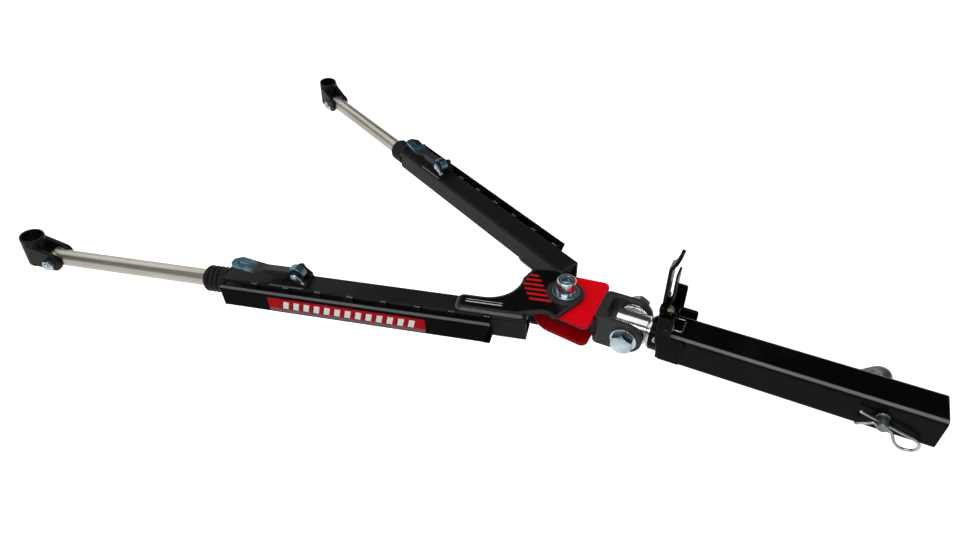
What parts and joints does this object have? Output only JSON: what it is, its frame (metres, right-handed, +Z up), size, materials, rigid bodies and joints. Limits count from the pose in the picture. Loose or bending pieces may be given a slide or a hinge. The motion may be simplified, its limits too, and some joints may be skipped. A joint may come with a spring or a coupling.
{
  "type": "a-frame tow bar",
  "caption": "Folding A-frame tow bar: square receiver shank with swivel and clevis, telescoping arms with release levers, and upright end eyes.",
  "frame": {"origin": "centre of the hitch pin hole on the shank's axis", "axes": "+X along the shank into the receiver, +Z up, +Y to the side of the pin's handle"},
  "size_m": [1.3572, 0.7441, 0.2042],
  "materials": {
    "black_coat": "satin black powder coat",
    "black_forging": "black coat over a forged clevis",
    "zinc": "bright zinc plate with a bluish cast",
    "spring_wire": "bright drawn wire",
    "yellow_zinc": "yellow passivated zinc",
    "grey_zinc": "dull grey zinc",
    "bare_steel": "turned bright steel",
    "red_coat": "glossy red powder coat",
    "bearing_plastic": "unfilled bearing plastic",
    "stainless": "drawn stainless bar with a fine grain",
    "rubber": "matt black rubber"
  },
  "bodies": {
    "shank": {"shank_tube": "black_coat", "front_bush": "black_coat", "collar_screw": "zinc", "near_cheek": "black_coat", "far_cheek": "black_coat", "stow_pin": "zinc", "stow_spring": "spring_wire"},
    "stow_latch": {"stow_lever": "black_coat", "stow_pawl": "black_coat", "stow_bolt": "yellow_zinc"},
    "hitch_pin": {"hitch_pin": "grey_zinc", "hairpin_clip": "spring_wire"},
    "swivel": {"swivel": "bare_steel", "swivel_washer": "zinc", "swivel_nut": "zinc"},
    "yoke": {"yoke": "black_forging", "upper_red_plate": "red_coat", "lower_red_plate": "red_coat", "thrust_washers": "bare_steel", "clevis_bolt": "zinc", "clevis_washers": "zinc", "clevis_nut": "zinc", "pivot_bolt": "zinc", "pivot_washers": "zinc", "pivot_nut": "zinc", "pivot_discs": "bearing_plastic"},
    "near_arm": {"near_tube": "black_coat", "near_channel": "black_coat", "near_plate": "black_coat", "near_boot": "rubber", "near_guide": "bearing_plastic", "near_latch_base": "black_coat", "near_latch_pin": "zinc", "near_keeper": "zinc"},
    "near_latch_lever": {"near_lever": "zinc"},
    "near_lock_plunger": {"near_plunger": "zinc"},
    "near_rod": {"near_rod": "stainless", "near_stop": "stainless"},
    "near_end_eye": {"near_eye": "black_coat", "near_eye_bolt": "zinc", "near_eye_nut": "zinc"},
    "far_arm": {"far_tube": "black_coat", "far_channel": "black_coat", "far_plate": "black_coat", "far_boot": "rubber", "far_guide": "bearing_plastic", "far_latch_base": "black_coat", "far_latch_pin": "zinc", "far_keeper": "zinc"},
    "far_latch_lever": {"far_lever": "zinc"},
    "far_lock_plunger": {"far_plunger": "zinc"},
    "far_rod": {"far_rod": "stainless", "far_stop": "stainless"},
    "far_end_eye": {"far_eye": "black_coat", "far_eye_bolt": "zinc", "far_eye_nut": "zinc"}
  },
  "joints": [
    {"name": "hitch_pin_turn", "type": "hinge", "parent": "shank", "child": "hitch_pin", "pos_m": [0, 0, 0], "axis": [0, 1, 0], "continuous": true},
    {"name": "stow_lever_tilt", "type": "hinge", "parent": "shank", "child": "stow_latch", "pos_m": [-0.2736, 0, 0.0344], "axis": [0, 1, 0], "range_deg": [0, 20], "stiffness_Nm_per_rad": 3, "springref_deg": -17.19},
    {"name": "swivel_roll", "type": "hinge", "parent": "shank", "child": "swivel", "pos_m": [-0.2952, 0, 0], "axis": [1, 0, 0], "continuous": true},
    {"name": "clevis_pitch", "type": "hinge", "parent": "swivel", "child": "yoke", "pos_m": [-0.3272, 0, 0], "axis": [0, 1, 0], "range_deg": [-75, 75]},
    {"name": "near_yaw", "type": "hinge", "parent": "yoke", "child": "near_arm", "pos_m": [-0.4272, 0, 0], "axis": [0, 0, 1], "range_deg": [-12, 46]},
    {"name": "near_slide", "type": "slide", "parent": "near_arm", "child": "near_rod", "axis": [-0.9701, -0.2428, 0], "range_m": [-0.255, 0.012]},
    {"name": "near_eye_tilt", "type": "hinge", "parent": "near_rod", "child": "near_end_eye", "pos_m": [-1.2369, -0.2534, 0.0004], "axis": [0.2428, -0.9701, 0], "range_deg": [-60, 60]},
    {"name": "near_lever_lift", "type": "hinge", "parent": "near_arm", "child": "near_latch_lever", "pos_m": [-0.80619, -0.14561, 0.03525], "axis": [-0.2428, 0.9701, 0], "range_deg": [0, 16], "stiffness_Nm_per_rad": 1.5, "springref_deg": -11.46},
    {"name": "near_plunger_lift", "type": "slide", "parent": "near_arm", "child": "near_lock_plunger", "axis": [0, 0, 1], "range_m": [0, 0.0075]},
    {"name": "far_yaw", "type": "hinge", "parent": "yoke", "child": "far_arm", "pos_m": [-0.4272, 0, 0], "axis": [0, 0, -1], "range_deg": [-24.5, 33.4]},
    {"name": "far_slide", "type": "slide", "parent": "far_arm", "child": "far_rod", "axis": [-0.8942, 0.4478, 0], "range_m": [-0.255, 0.012]},
    {"name": "far_eye_tilt", "type": "hinge", "parent": "far_rod", "child": "far_end_eye", "pos_m": [-1.1625, 0.42329, -0.0004], "axis": [0.4478, 0.8942, 0], "range_deg": [-60, 60]},
    {"name": "far_lever_lift", "type": "hinge", "parent": "far_arm", "child": "far_latch_lever", "pos_m": [-0.76549, 0.22448, 0.03445], "axis": [0.4478, 0.8942, 0], "range_deg": [0, 16], "stiffness_Nm_per_rad": 1.5, "springref_deg": -11.46},
    {"name": "far_plunger_lift", "type": "slide", "parent": "far_arm", "child": "far_lock_plunger", "axis": [0, 0, 1], "range_m": [0, 0.0075]}
  ],
  "couplings": [
    {"joint": "near_plunger_lift", "follows": "near_lever_lift", "m_per_rad": 0.0263},
    {"joint": "far_plunger_lift", "follows": "far_lever_lift", "m_per_rad": 0.0263}
  ]
}
